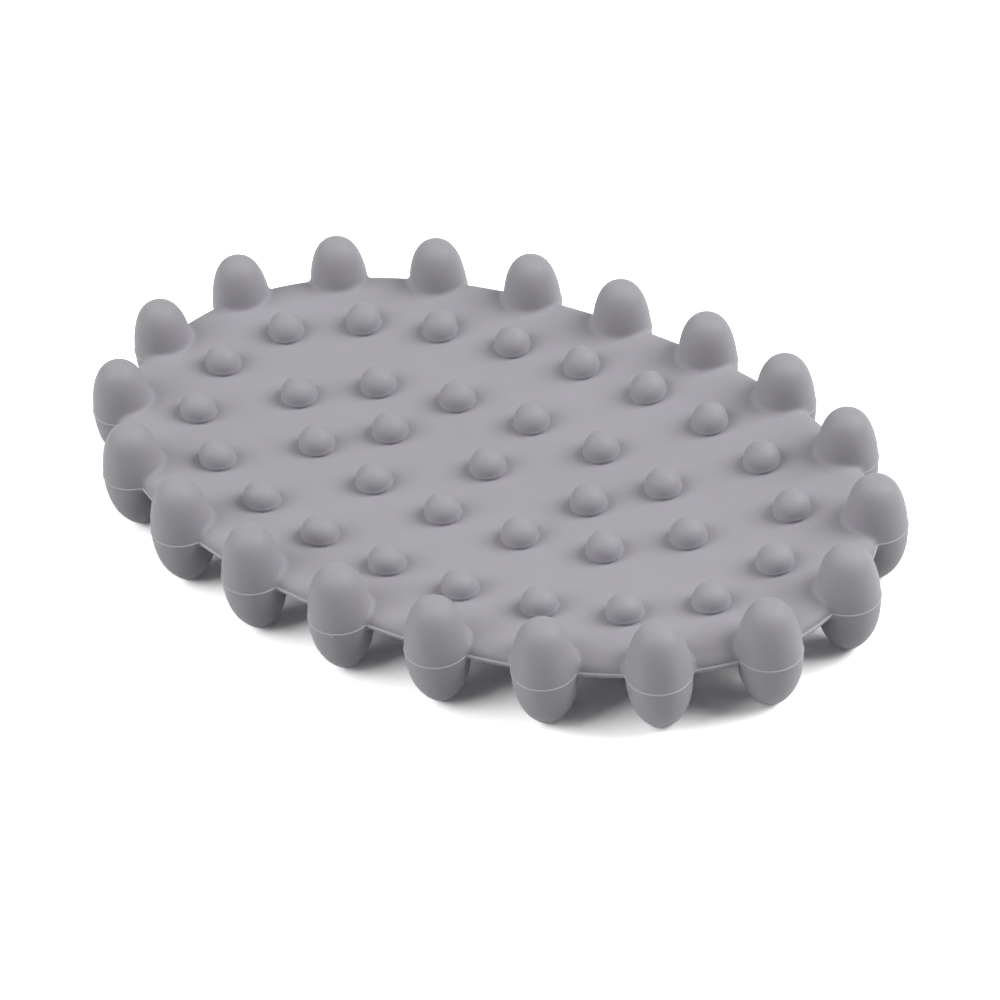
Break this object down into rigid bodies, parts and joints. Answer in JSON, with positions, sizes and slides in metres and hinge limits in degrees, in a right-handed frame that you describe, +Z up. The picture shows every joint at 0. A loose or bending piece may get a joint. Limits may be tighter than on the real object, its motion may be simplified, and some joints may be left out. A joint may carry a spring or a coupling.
{
  "type": "soap saver",
  "caption": "Oval silicone soap saver: a dished web with domed nubs that hold the bar up, and egg-shaped lobes round the rim that guard it and stand as feet.",
  "frame": {"origin": "on the floor under the middle of the oval, in the plane of the lobes' flat feet", "axes": "+X along the oval's length, +Y across its width, +Z up, towards the soap"},
  "size_m": [0.12, 0.0784, 0.0165],
  "materials": {
    "silicone": "matte moulded silicone rubber, warm mid grey"
  },
  "bodies": {
    "root": {"web": "silicone", "edge_lobe_01": "silicone", "edge_lobe_02": "silicone", "edge_lobe_03": "silicone", "edge_lobe_04": "silicone", "edge_lobe_05": "silicone", "edge_lobe_06": "silicone", "edge_lobe_07": "silicone", "edge_lobe_08": "silicone", "edge_lobe_09": "silicone", "edge_lobe_10": "silicone", "edge_lobe_11": "silicone", "edge_lobe_12": "silicone", "edge_lobe_13": "silicone", "edge_lobe_14": "silicone", "edge_lobe_15": "silicone", "edge_lobe_16": "silicone", "edge_lobe_17": "silicone", "edge_lobe_18": "silicone", "edge_lobe_19": "silicone", "edge_lobe_20": "silicone", "outer_nub_01": "silicone", "outer_nub_02": "silicone", "outer_nub_03": "silicone", "outer_nub_04": "silicone", "outer_nub_05": "silicone", "outer_nub_06": "silicone", "outer_nub_07": "silicone", "outer_nub_08": "silicone", "outer_nub_09": "silicone", "outer_nub_10": "silicone", "outer_nub_11": "silicone", "outer_nub_12": "silicone", "outer_nub_13": "silicone", "outer_nub_14": "silicone", "outer_nub_15": "silicone", "outer_nub_16": "silicone", "outer_nub_17": "silicone", "outer_nub_18": "silicone", "outer_nub_19": "silicone", "outer_nub_20": "silicone", "inner_nub_01": "silicone", "inner_nub_02": "silicone", "inner_nub_03": "silicone", "inner_nub_04": "silicone", "inner_nub_05": "silicone", "inner_nub_06": "silicone", "inner_nub_07": "silicone", "inner_nub_08": "silicone", "inner_nub_09": "silicone", "inner_nub_10": "silicone", "inner_nub_11": "silicone", "inner_nub_12": "silicone", "centre_nub_01": "silicone", "centre_nub_02": "silicone", "centre_nub_03": "silicone"}
  },
  "joints": []
}
